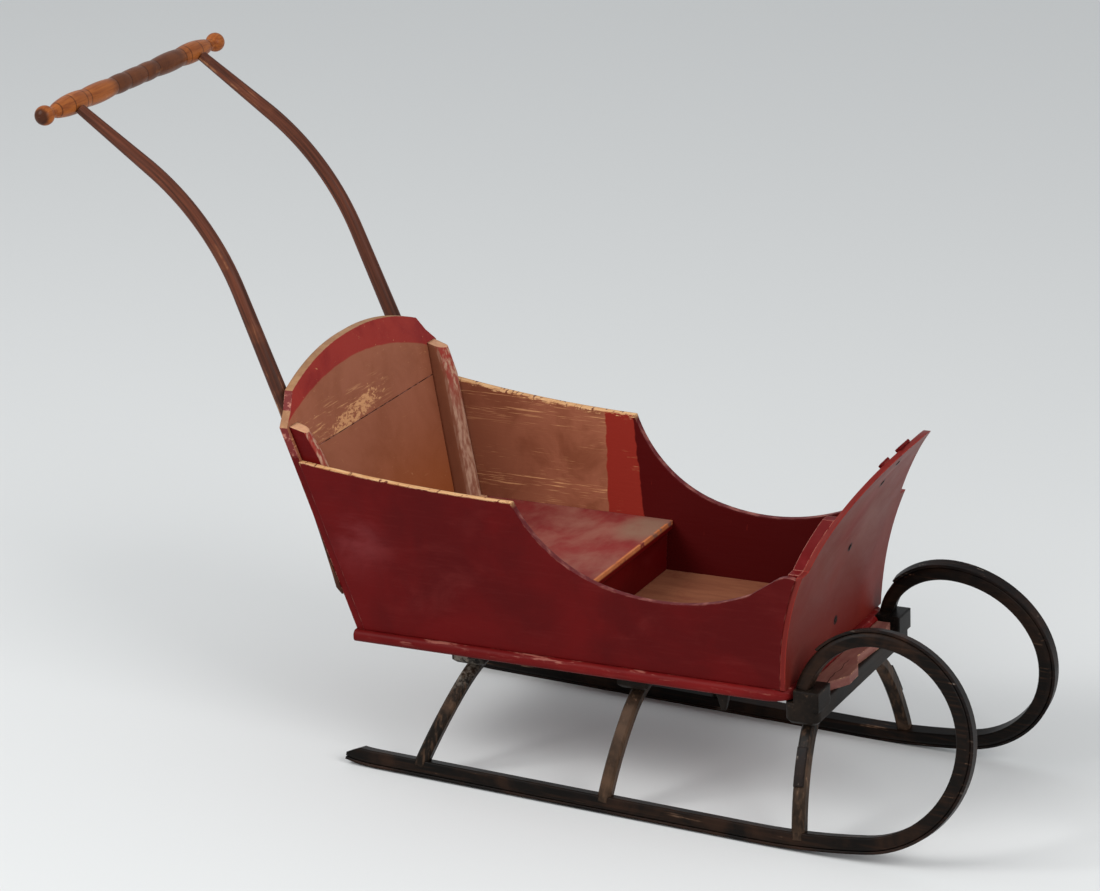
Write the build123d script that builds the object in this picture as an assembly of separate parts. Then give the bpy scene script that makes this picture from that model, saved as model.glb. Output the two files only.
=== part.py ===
from build123d import *
import math
import os

# Child's push sleigh, real size in millimetres.
# +X points forward, +Y to the sled's left, +Z up, floor at Z = 0.

SHIFT_X = 153.2          # centres the finished sled on X = 0
LIFT_Z = 1.5             # sets the sole straps on the floor

# bent runners: the whole loop lies in one plane that leans inward
RUNNER_LEAN = 11.9       # degrees from upright
RUNNER_HALF_TRACK = 183.6
RUNNER_THICK = 18.0
STRAP_THICK = 3.5
STRAP_WIDE = 15.0
SOLE_MID = STRAP_THICK + RUNNER_THICK / 2
REAR_TIP_X = -331.0
REAR_RISE_R = 180.0
REAR_RISE_DEG = 12.0
ROCKER_START_X = 200.0
ROCKER_R = 953.0
ROCKER_DEG = 9.0
LOOP_FRONT_R = 134.0
LOOP_TOP_R = 122.0
LOOP_BACK_R = 95.0
LOOP_END_DEG = 79.0
STRAP_STOP_DEG = 30.0    # the iron ends this much short of the wood

# half of the runner's section: distance from its middle plane, height from its middle line
RUNNER_SECTION = ((8.0, -9.0), (9.5, -7.5), (9.5, 3.5), (8.1, 7.3), (4.5, 9.0))
TAIL_CUT_LONG = 26.0     # the rear tip is worn down over this length
TAIL_CUT_DEG = 24.0

# bent bows under the body
BOW_SIDE = 17.0
BOW_BEVEL = 3.0
BOW_FOOT_Y = 181.0
BOW_FOOT_Z = 20.0
BOW_FOOT_SUNK = 7.0
BOW_LEG_DEG = (14.0, 36.0)
BOW_LEG_R = 275.0
BOW_SHOULDER_R = 85.0

# columns: foot X, forward lean in degrees, crown height of the top face
BOWS = {
    "rear": (-262.0, 19.8, 151.0),
    "mid": (-3.0, 6.6, 157.0),
    "front": (261.0, -7.1, 163.0),
}

# iron stays on the outer faces of the front bow's legs, in degrees along the leg's bend
STAY_FROM_DEG = 12.0
STAY_LONG_DEG = 10.0
STAY_THICK = 3.0
STAY_WIDE = 13.0

# body, described in its own frame: U along the floor, V square to the floor
BODY_PITCH = 2.0
BODY_Z0 = 189.8
SIDE_FOOT_Y = 161.0
SIDE_THICK = 9.0
FLARE_REAR = (-480.0, 0.179)     # U and outward lean of the sides
FLARE_FRONT = (320.0, 0.087)
SPACE_LOW_V = -5.0
SPACE_HIGH_V = 310.0
BACK_FOOT_U = -366.0
BACK_RAKE = 0.258
BACK_THICK = 11.0
BACK_SEAM_V = 239.0
FLOOR_THICK = 16.0
FLOOR_INNER = 11.0
FLOOR_REAR_U = -368.0
FLOOR_FRONT_U = 243.0
FLOOR_HALF_Y = 168.0
FLOOR_CORNER_R = 40.0
NOSING_R = 7.0
SEAT_TOP = 78.0
SEAT_THICK = 12.0
SEAT_FRONT_U = -63.0
RISER_FRONT_U = -70.0
RISER_THICK = 11.0
DASH_THICK = 6.5
DASH_CLEAT_DEEP = 13.0
DASH_CLEAT_WIDE = 15.0
DASH_CLEAT_TOP = 217.0
BACK_CLEAT_WIDE = 11.0

# side outline, U forward and V up
SIDE_TOP = ((-362.0, 234.0), (-298.0, 220.0), (-238.0, 214.0), (-123.0, 211.0))
SIDE_CUT = ((-95.0, 168.0), (-52.0, 129.0), (-7.0, 109.0))
SIDE_WELL = ((80.0, 98.0), (190.0, 124.0))
SIDE_NOSE = ((226.0, 149.0), (239.0, 154.0), (256.0, 150.0))

# dash and back outlines seen square on: half width, height
DASH_LOW = ((161.0, 0.0), (169.0, 90.0), (174.0, 156.0))
DASH_HIGH = ((153.5, 157.5), (135.0, 203.0), (95.0, 252.0))
DASH_CREST = ((50.0, 283.0), (0.0, 293.5))
BACK_EDGE = ((160.0, 0.0), (198.5, 238.0), (205.5, 279.0))
BACK_CUT = ((186.5, 296.0), (170.0, 317.0))
BACK_ARCH = ((93.0, 339.0), (0.0, 347.0))

# front edge of the back cleats: depth from the panel's rear plane against height
BACK_CLEAT = ((33.0, 273.0), (42.0, 239.0), (45.0, 164.0), (50.6, 78.0), (57.0, 0.0))
BACK_CLEAT_TOP = 280.0

# cross bolsters under the floor: middle U, width along U, half length, depth
BOLSTERS = {
    "rear": (-220.0, 46.0, 135.0, 23.0),
    "mid": (11.0, 42.0, 135.0, 24.0),
    "front": (249.0, 46.0, 158.0, 28.0),
}
BOLSTER_END_R = 12.0
BOLSTER_BEVEL = 5.0
LANDING_U = 256.0        # blocks that take the ends of the runner loops
LANDING_Y = 138.0
LANDING_SIZE = (33.0, 40.0, 26.0)
LANDING_V = -12.0

# toe board outline in front of the floor, U and Y
TOE = ((244.5, -112.0), (261.0, -112.0), (281.0, -75.0), (280.0, -44.0), (266.0, -10.0), (271.0, 56.0),
       (262.0, 112.0), (244.5, 112.0))
TOE_THICK = 12.0

# handle
SHAFT_FOOT = (-392.1, 222.0)
SHAFT_FOOT_HEADING = 106.3
SHAFT_R = (12.0, 10.3, 10.3, 9.3, 9.3, 7.0)      # at the foot and after each length below
SHAFT_RUNS = (227.1, 141.7, 119.0)
SHAFT_TURNS = ((8.0, 290.0), (32.7, 351.0))
SHAFT_Y = ((163.5, 222.0), (153.5, 826.0))       # distance from the middle, height
BAR_X = -772.0
BAR_Z = 826.0
# turned bar, station along it and radius: start, middle and end of each bead
BAR_BEADS = (
    ((0.0, 12.6), (11.0, 12.4), (20.0, 11.8)),
    ((20.0, 11.8), (36.0, 12.8), (52.0, 11.5)),
    ((52.0, 11.5), (88.0, 13.6), (119.0, 12.2)),
    ((119.0, 12.2), (155.0, 14.0), (187.0, 10.0)),
)
BAR_NECK = (196.0, 7.0)
BALL_Y = 214.0
BALL_R = 13.0

os.makedirs("parts", exist_ok=True)


def polar(angle):
    return math.cos(math.radians(angle)), math.sin(math.radians(angle))


def body(shape):
    return Pos(0, 0, BODY_Z0) * Rot(0, -BODY_PITCH, 0) * shape


def mirror_y(shape):
    return mirror(shape, about=Plane.XZ)


def biggest(shape):
    return max(shape.solids(), key=lambda s: s.volume)


def save(node, shape):
    export_step(biggest(Pos(SHIFT_X, 0, LIFT_Z) * shape), "parts/%s.step" % node)


def line(a, b):
    return Edge.make_line((a[0], a[1], 0), (b[0], b[1], 0))


def arc(a, b, c):
    return Edge.make_three_point_arc((a[0], a[1], 0), (b[0], b[1], 0), (c[0], c[1], 0))


def enclosed(edges):
    return make_face(Wire.combine(edges)[0])


# a path made of straight runs and tangent arcs; heading in degrees
class Track:
    def __init__(self, x, y, heading):
        self.x = x
        self.y = y
        self.heading = heading
        self.marks = [(x, y, heading, None)]

    def run(self, length):
        c, s = polar(self.heading)
        self.x += c * length
        self.y += s * length
        self.marks.append((self.x, self.y, self.heading, None))
        return self

    def turn(self, degrees, radius):
        side = 1 if degrees > 0 else -1
        c, s = polar(self.heading + 90 * side)
        cx = self.x + c * radius
        cy = self.y + s * radius
        mid = polar(self.heading - 90 * side + degrees / 2)
        end = polar(self.heading - 90 * side + degrees)
        middle = (cx + mid[0] * radius, cy + mid[1] * radius)
        self.x = cx + end[0] * radius
        self.y = cy + end[1] * radius
        self.heading += degrees
        self.marks.append((self.x, self.y, self.heading, (middle, side, radius, cx, cy)))
        return self

    def shifted(self, mark, shift):
        c, s = polar(mark[2] + 90)
        return mark[0] + c * shift, mark[1] + s * shift

    def edges(self, shift):
        found = []
        for a, b in zip(self.marks, self.marks[1:]):
            pa = self.shifted(a, shift)
            pb = self.shifted(b, shift)
            if b[3] is None:
                found.append(line(pa, pb))
            else:
                middle, side, radius, cx, cy = b[3]
                k = (radius - side * shift) / radius
                found.append(arc(pa, (cx + (middle[0] - cx) * k, cy + (middle[1] - cy) * k), pb))
        return found

    def face(self, low, high):
        first, last = self.marks[0], self.marks[-1]
        caps = [line(self.shifted(first, low), self.shifted(first, high))]
        caps.append(line(self.shifted(last, low), self.shifted(last, high)))
        return enclosed(self.edges(low) + self.edges(high) + caps)

    # carries a section along the path; rounds gives one radius per mark for a round bar
    def member(self, section=None, rounds=None):
        whole = None
        for i, (a, b) in enumerate(zip(self.marks, self.marks[1:])):
            c, s = polar(a[2])
            start = Plane(origin=(a[0], a[1], 0), x_dir=(0, 0, 1), z_dir=(c, s, 0))
            shape = start * (section if section is not None else Circle(rounds[i]))
            if b[3] is not None:
                middle, side, radius, cx, cy = b[3]
                piece = revolve(shape, axis=Axis((cx, cy, 0), (0, 0, side)), revolution_arc=abs(b[2] - a[2]))
            else:
                length = math.hypot(b[0] - a[0], b[1] - a[1])
                if rounds is None:
                    piece = extrude(shape, amount=length, dir=(c, s, 0))
                else:
                    up = (Align.CENTER, Align.CENTER, Align.MIN)
                    piece = start * Cone(rounds[i], rounds[i + 1], length, align=up)
            whole = piece if whole is None else whole + piece
        return whole


# runners, drawn flat and then leaned inward
def runner_track(short):
    rise = REAR_RISE_R * (1 - math.cos(math.radians(REAR_RISE_DEG)))
    back = REAR_RISE_R * math.sin(math.radians(REAR_RISE_DEG))
    path = Track(REAR_TIP_X - back, SOLE_MID + rise, -REAR_RISE_DEG)
    path.turn(REAR_RISE_DEG, REAR_RISE_R)
    path.run(ROCKER_START_X - REAR_TIP_X)
    path.turn(ROCKER_DEG, ROCKER_R)
    path.turn(90.0 - ROCKER_DEG, LOOP_FRONT_R)
    path.turn(90.0, LOOP_TOP_R)
    path.turn(LOOP_END_DEG - short, LOOP_BACK_R)
    return path


def leaned(solid):
    return Pos(0, -RUNNER_HALF_TRACK, 0) * Rot(-RUNNER_LEAN, 0, 0) * Rot(90, 0, 0) * solid


half_section = list(RUNNER_SECTION)
other_half = [(-across, up) for across, up in reversed(half_section)]
# across runs along the section's X; up is the inner side of the loop
runner_section = make_face(Polyline(*[(across, up, 0) for across, up in half_section + other_half], close=True))
runner_path = runner_track(0.0)
tip = runner_path.marks[0]
tail_tool = Pos(tip[0], tip[1] + RUNNER_THICK / 2 - 11.0, 0) * Rot(0, 0, TAIL_CUT_DEG)
tail_tool = tail_tool * Pos(0, TAIL_CUT_LONG / 2, 0) * Box(4 * TAIL_CUT_LONG, TAIL_CUT_LONG, 60.0)
runner = leaned(runner_path.member(section=runner_section) - tail_tool)
strap_face = runner_track(STRAP_STOP_DEG).face(-RUNNER_THICK / 2 - STRAP_THICK, -RUNNER_THICK / 2)
strap = leaned(extrude(strap_face, amount=STRAP_WIDE / 2, both=True))
runners = [runner, mirror_y(runner)]


# bows, drawn standing and then raked
def bow_track(crown, rake):
    low, high = BOW_LEG_DEG
    top = (crown - BOW_FOOT_Z) / math.cos(math.radians(rake)) - BOW_SIDE / 2
    leg_rise = BOW_LEG_R * (math.sin(math.radians(high)) - math.sin(math.radians(low)))
    shoulder_rise = BOW_SHOULDER_R * (1 - math.sin(math.radians(high)))
    c, s = polar(90.0 + low)
    path = Track(BOW_FOOT_Y - c * BOW_FOOT_SUNK, -s * BOW_FOOT_SUNK, 90.0 + low)
    path.run(BOW_FOOT_SUNK)
    path.turn(high - low, BOW_LEG_R)
    path.run(max(top - leg_rise - shoulder_rise, 1.0) / polar(path.heading)[1])
    path.turn(90.0 - high, BOW_SHOULDER_R)
    path.run(path.x)
    return path


def stand(name, solid):
    foot_x, rake, crown = BOWS[name]
    return Pos(foot_x, 0, BOW_FOOT_Z) * Rot(0, rake, 0) * Rot(0, 0, 90) * Rot(90, 0, 0) * solid


bow_section = chamfer(Rectangle(BOW_SIDE, BOW_SIDE).vertices(), length=BOW_BEVEL)
bows = {}
for name, (foot_x, rake, crown) in BOWS.items():
    leg = bow_track(crown, rake).member(section=bow_section)
    bows[name] = stand(name, leg + mirror(leg, about=Plane.YZ)) - runners[0] - runners[1]

stay_path = Track(BOW_FOOT_Y, 0.0, 90.0 + BOW_LEG_DEG[0])
stay_path.turn(STAY_FROM_DEG, BOW_LEG_R)
stay_path = Track(stay_path.x, stay_path.y, stay_path.heading).turn(STAY_LONG_DEG, BOW_LEG_R)
stay_face = stay_path.face(-BOW_SIDE / 2 - STAY_THICK, -BOW_SIDE / 2)
stay_left = stand("front", extrude(stay_face, amount=STAY_WIDE / 2, both=True))


# the room between two planes' worth of flaring sides, inset from the outer face
def room(inset):
    ends = []
    for u, flare in (FLARE_REAR, FLARE_FRONT):
        low = SIDE_FOOT_Y - inset + flare * SPACE_LOW_V
        high = SIDE_FOOT_Y - inset + flare * SPACE_HIGH_V
        corners = [(u, -low, SPACE_LOW_V), (u, low, SPACE_LOW_V), (u, high, SPACE_HIGH_V), (u, -high, SPACE_HIGH_V)]
        ends.append(make_face(Polyline(*corners, close=True)))
    return loft(ends, ruled=True)


outer_room = room(0.0)
inner_room = room(SIDE_THICK)


def layer(low_u, high_u, low_v, high_v):
    return Pos((low_u + high_u) / 2, 0, (low_v + high_v) / 2) * Box(high_u - low_u, 500.0, high_v - low_v)


def back_u(v, depth):
    return BACK_FOOT_U - BACK_RAKE * v + depth


def upright(face, low_y, high_y):
    return Pos(0, high_y, 0) * Rot(90, 0, 0) * extrude(face, amount=high_y - low_y)


def rake_band(front, rear, low_v, high_v):
    corners = [(back_u(low_v, front), low_v), (back_u(high_v, front), high_v)]
    corners += [(back_u(high_v, rear), high_v), (back_u(low_v, rear), low_v)]
    return upright(make_face(Polyline(*[(u, v, 0) for u, v in corners], close=True)), -260.0, 260.0)


def square_on(right_edges, length):
    half_face = enclosed(right_edges)
    both = half_face + mirror(half_face, about=Plane.YZ)
    return Rot(0, 0, 90) * Rot(90, 0, 0) * extrude(both, amount=length)


# dash profile: the front face's path standing on the floor, U forward and V up
dash = Track(230.5, 0.0, 89.0)
dash.turn(-8.0, 500.0)
dash.turn(-40.0, 400.0)
dash_slab = upright(dash.face(0, DASH_THICK), -230.0, 230.0)
dash_front = upright(dash.face(-90.0, 0.0), -260.0, 260.0)


def dash_outline(inset):
    low = [(y - inset, v) for y, v in DASH_LOW]
    high = [(y - inset, v) for y, v in DASH_HIGH]
    crest = [(max(y - inset, 0.0), v) for y, v in DASH_CREST]
    foot, apex = (0.0, 0.0), crest[-1]
    edges = [line(foot, low[0]), arc(*low), line(low[-1], high[0]), arc(*high), arc(high[-1], *crest)]
    return square_on(edges + [line(apex, foot)], 600.0)


dash_panel = dash_slab & dash_outline(0.0)
dash_band = upright(dash.face(DASH_THICK, DASH_THICK + DASH_CLEAT_DEEP), -260.0, 0.0)
dash_cleat = dash_band & inner_room & dash_outline(0.0) & layer(100.0, 420.0, 0.0, DASH_CLEAT_TOP)
dash_cleat = biggest(dash_cleat - (room(SIDE_THICK + DASH_CLEAT_WIDE) & dash_outline(DASH_CLEAT_WIDE)))


# sides
def side_face():
    top = (back_u(SIDE_TOP[0][1], BACK_THICK), SIDE_TOP[0][1])
    foot = (back_u(0, BACK_THICK), 0.0)
    toe = (dash.marks[0][0] + 4.0, 0.0)
    edges = [
        line(foot, top),
        arc(top, SIDE_TOP[1], SIDE_TOP[3]),
        arc(SIDE_TOP[3], SIDE_CUT[1], SIDE_CUT[2]),
        arc(SIDE_CUT[2], SIDE_WELL[0], SIDE_WELL[1]),
        line(SIDE_WELL[1], SIDE_NOSE[0]),
        arc(*SIDE_NOSE),
        line(SIDE_NOSE[2], toe),
        line(toe, foot),
    ]
    return enclosed(edges)


side = upright(side_face(), -260.0, -120.0) & outer_room
side = biggest(side - inner_room - dash_slab - dash_front)


# back panel in two boards
def back_outline(low_v, high_v):
    foot, apex = (0.0, 0.0), BACK_ARCH[1]
    edges = [
        line(foot, BACK_EDGE[0]),
        line(BACK_EDGE[0], BACK_EDGE[1]),
        line(BACK_EDGE[1], BACK_EDGE[2]),
        line(BACK_EDGE[2], BACK_CUT[0]),
        line(BACK_CUT[0], BACK_CUT[1]),
        arc(BACK_CUT[1], *BACK_ARCH),
        line(apex, foot),
    ]
    return Pos(-600.0, 0, 0) * square_on(edges, 600.0) & layer(-600.0, 0.0, low_v, high_v)


back_band = rake_band(0.0, BACK_THICK, 0.0, 350.0)
behind_back = rake_band(-220.0, BACK_THICK, -10.0, 360.0)
back_lower = back_band & back_outline(0.0, BACK_SEAM_V)
back_upper = back_band & back_outline(BACK_SEAM_V, 350.0)

# back cleats
cleat_side = [(back_u(BACK_CLEAT_TOP, BACK_THICK), BACK_CLEAT_TOP)]
cleat_side += [(back_u(v, depth), v) for depth, v in BACK_CLEAT]
cleat_side += [(back_u(0.0, BACK_THICK), 0.0)]
back_cleat = upright(make_face(Polyline(*[(u, v, 0) for u, v in cleat_side], close=True)), -260.0, 0.0)
back_cleat = back_cleat & (inner_room - room(SIDE_THICK + BACK_CLEAT_WIDE))
cleats = [back_cleat, mirror_y(back_cleat), dash_cleat, mirror_y(dash_cleat)]

# floor board with a half round nosing, and a raised inner field in two parts with the riser between
floor_rect = Pos((FLOOR_REAR_U + FLOOR_FRONT_U) / 2, 0) * Rectangle(FLOOR_FRONT_U - FLOOR_REAR_U, 2 * FLOOR_HALF_Y)
floor_face = fillet(floor_rect.vertices().group_by(Axis.X)[-1], radius=FLOOR_CORNER_R)
floor_slab = Pos(0, 0, -FLOOR_THICK) * extrude(floor_face, amount=FLOOR_THICK)
rim = [e for e in floor_slab.edges() if abs(e.center().Z + FLOOR_THICK / 2) > 1.0 and e.center().X > FLOOR_REAR_U + 1.0]
floor_slab = fillet(rim, radius=NOSING_R)
field = inner_room & layer(-480.0, 300.0, 0.0, FLOOR_INNER)
field = field - upright(dash.face(-90.0, DASH_THICK), -260.0, 260.0) - behind_back
field = field - layer(RISER_FRONT_U - RISER_THICK, RISER_FRONT_U, 0.0, FLOOR_INNER)
for cleat in cleats:
    field = field - cleat
floor_board = floor_slab + field

# seat
seat_board = inner_room & layer(-460.0, SEAT_FRONT_U, SEAT_TOP - SEAT_THICK, SEAT_TOP)
seat_board = seat_board - behind_back - cleats[0] - cleats[1]
seat_riser = inner_room & layer(RISER_FRONT_U - RISER_THICK, RISER_FRONT_U, 0.0, SEAT_TOP - SEAT_THICK)

floor_placed = body(floor_board) - runners[0] - runners[1]
bolsters = {}
for name, (mid_u, wide, half_len, deep) in BOLSTERS.items():
    beam = Box(wide, 2 * half_len, deep)
    if name == "front":
        beam = fillet(beam.edges().filter_by(Axis.Z), radius=BOLSTER_END_R)
    beam = chamfer(beam.edges().group_by(Axis.Z)[0], length=BOLSTER_BEVEL)
    beam = Pos(mid_u, 0, -FLOOR_THICK - deep / 2) * beam
    if name == "front":
        block = Pos(LANDING_U, -LANDING_Y, LANDING_V) * Box(*LANDING_SIZE)
        beam = beam + block + mirror_y(block) - floor_board
    bolsters[name] = body(beam) - bows[name] - runners[0] - runners[1]

toe_face = make_face(Polyline(*[(u, y, 0) for u, y in TOE], close=True))
toe_board = body(Pos(0, 0, -FLOOR_THICK) * extrude(toe_face, amount=TOE_THICK)) - bows["front"] - bolsters["front"]

# turned handle bar
bar_edges = [line((0.0, 0.0), BAR_BEADS[0][0])] + [arc(*bead) for bead in BAR_BEADS]
ball_start = (BALL_Y - math.sqrt(BALL_R ** 2 - BAR_NECK[1] ** 2), BAR_NECK[1])
ball_end = (BALL_Y + BALL_R, 0.0)
bar_edges += [line(BAR_BEADS[-1][2], BAR_NECK), line(BAR_NECK, ball_start)]
bar_edges += [arc(ball_start, (BALL_Y, BALL_R), ball_end), line(ball_end, (0.0, 0.0))]
half_bar = Rot(0, 0, 90) * revolve(enclosed(bar_edges), axis=Axis.X)
bar = Pos(BAR_X, 0, BAR_Z) * (half_bar + mirror_y(half_bar))

# handle shafts, one tapered bent rod on each side of the back
shaft = Track(SHAFT_FOOT[0], SHAFT_FOOT[1], SHAFT_FOOT_HEADING)
shaft.run(SHAFT_RUNS[0]).turn(*SHAFT_TURNS[0])
shaft.run(SHAFT_RUNS[1]).turn(*SHAFT_TURNS[1])
shaft.run(SHAFT_RUNS[2])
rod = Rot(90, 0, 0) * shaft.member(rounds=SHAFT_R)
shaft_lean = math.degrees(math.atan2(SHAFT_Y[0][0] - SHAFT_Y[1][0], SHAFT_Y[1][1] - SHAFT_Y[0][1]))
rod = Pos(0, -SHAFT_Y[0][0], SHAFT_Y[0][1]) * Rot(-shaft_lean, 0, 0) * Pos(0, 0, -SHAFT_Y[0][1]) * rod
shaft_right = biggest(rod - body(back_band) - bar)

pieces = {
    "runner_right": runner,
    "runner_left": runners[1],
    "sole_strap_right": strap,
    "sole_strap_left": mirror_y(strap),
    "bow_rear": bows["rear"],
    "bow_mid": bows["mid"],
    "bow_front": bows["front"],
    "stay_right": mirror_y(stay_left),
    "stay_left": stay_left,
    "bolster_rear": bolsters["rear"],
    "bolster_mid": bolsters["mid"],
    "bolster_front": bolsters["front"],
    "floor_board": floor_placed,
    "toe_board": toe_board,
    "side_right": body(side),
    "side_left": mirror_y(body(side)),
    "back_board_lower": body(back_lower),
    "back_board_upper": body(back_upper),
    "back_cleat_right": body(back_cleat),
    "back_cleat_left": mirror_y(body(back_cleat)),
    "dash_panel": body(dash_panel),
    "dash_cleat_right": body(dash_cleat),
    "dash_cleat_left": mirror_y(body(dash_cleat)),
    "seat_board": body(seat_board),
    "seat_riser": body(seat_riser),
    "handle_shaft_right": shaft_right,
    "handle_shaft_left": mirror_y(shaft_right),
    "handle_bar": bar,
}
for node, shape in pieces.items():
    save(node, shape)
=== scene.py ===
# %% [markdown]
# An old child's push sled: a painted box body with a seat, on three bent bows and two
# runners that curl into loops at the front. A turned bar on two bent shafts is its handle.
# The solid pieces come ready from the frame. Each cell below gives one of them its real finish,
# or adds the small things that a joiner and a century of use left on it.

# %% Load the frame
import bpy
import bmesh
import math
from mathutils import Matrix, Vector


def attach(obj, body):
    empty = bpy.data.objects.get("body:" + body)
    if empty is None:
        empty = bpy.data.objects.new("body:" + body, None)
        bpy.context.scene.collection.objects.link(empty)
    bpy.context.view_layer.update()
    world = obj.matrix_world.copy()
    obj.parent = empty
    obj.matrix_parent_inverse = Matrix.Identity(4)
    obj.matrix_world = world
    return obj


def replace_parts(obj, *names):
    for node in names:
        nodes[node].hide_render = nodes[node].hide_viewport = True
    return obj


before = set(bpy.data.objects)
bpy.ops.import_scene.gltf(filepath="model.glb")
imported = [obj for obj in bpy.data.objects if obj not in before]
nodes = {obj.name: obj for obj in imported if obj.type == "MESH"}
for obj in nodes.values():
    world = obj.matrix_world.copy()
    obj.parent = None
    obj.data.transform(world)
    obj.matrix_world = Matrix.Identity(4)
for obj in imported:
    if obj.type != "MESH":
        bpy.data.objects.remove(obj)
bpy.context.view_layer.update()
print("pieces in the frame:", len(nodes))

# %% [markdown]
# The body is nailed together square to its own floor, and that floor rises two degrees
# towards the front. Paint bands and scratches follow the boards, so many of the finishes below
# are measured along the body: U forwards, Y to the left, V square to the floor.

# %% Body measures
BODY_PITCH = math.radians(2.0)
BODY_ORIGIN = (0.1532, 0.0, 0.1913)
FLOOR_FRONT_U = 0.243


def on_body(u, y, v):
    """A place given along the body, in metres, as a point in the frame."""
    c, s = math.cos(BODY_PITCH), math.sin(BODY_PITCH)
    return Vector((BODY_ORIGIN[0] + u * c - v * s, y, BODY_ORIGIN[2] + u * s + v * c))


print("front of the floor:", [round(x, 3) for x in on_body(FLOOR_FRONT_U, 0, 0)])

# %% [markdown]
# The view stands a little in front of the sled's right side and looks down about nineteen
# degrees, from far off with a long lens, so the shafts and the runners hardly converge.

# %% Camera
PHOTO_WIDTH = 1100.0
FOCAL_PIXELS = 4067.0
SENSOR = 36.0
CAMERA_PLACE = (2.1242, -4.4320, 2.1445)
CAMERA_ROUND, CAMERA_DOWN, CAMERA_ROLL = 25.75, 19.44, -0.15
FAR_CLIP = 100.0
camera_data = bpy.data.cameras.new("studio_camera")
camera_data.sensor_width = SENSOR
camera_data.lens = FOCAL_PIXELS / PHOTO_WIDTH * SENSOR
camera_data.clip_end = FAR_CLIP
camera = bpy.data.objects.new("studio_camera", camera_data)
bpy.context.scene.collection.objects.link(camera)
camera.location = CAMERA_PLACE
turn = Matrix.Rotation(math.radians(CAMERA_ROUND), 4, "Z")
turn = turn @ Matrix.Rotation(math.radians(90 - CAMERA_DOWN), 4, "X")
turn = turn @ Matrix.Rotation(math.radians(CAMERA_ROLL), 4, "Z")
camera.rotation_euler = turn.to_euler()
bpy.context.scene.camera = camera
print("lens:", round(camera_data.lens, 1), "mm")

# %% [markdown]
# Old paint is never one colour. Every finish below is mixed from the same few patterns: soft
# noise for fading, stretched noise for grain and scratches, and a mask for worn edges. These
# helpers add a shader node or two each, so that a finish reads as a recipe.

# %% Helpers for finishes
CORNER_SAMPLES = 6
# cosines of the swing from the true direction to the rounded one, where an arris starts and is full
ARRIS_START, ARRIS_FULL = 0.985, 0.80


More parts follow.
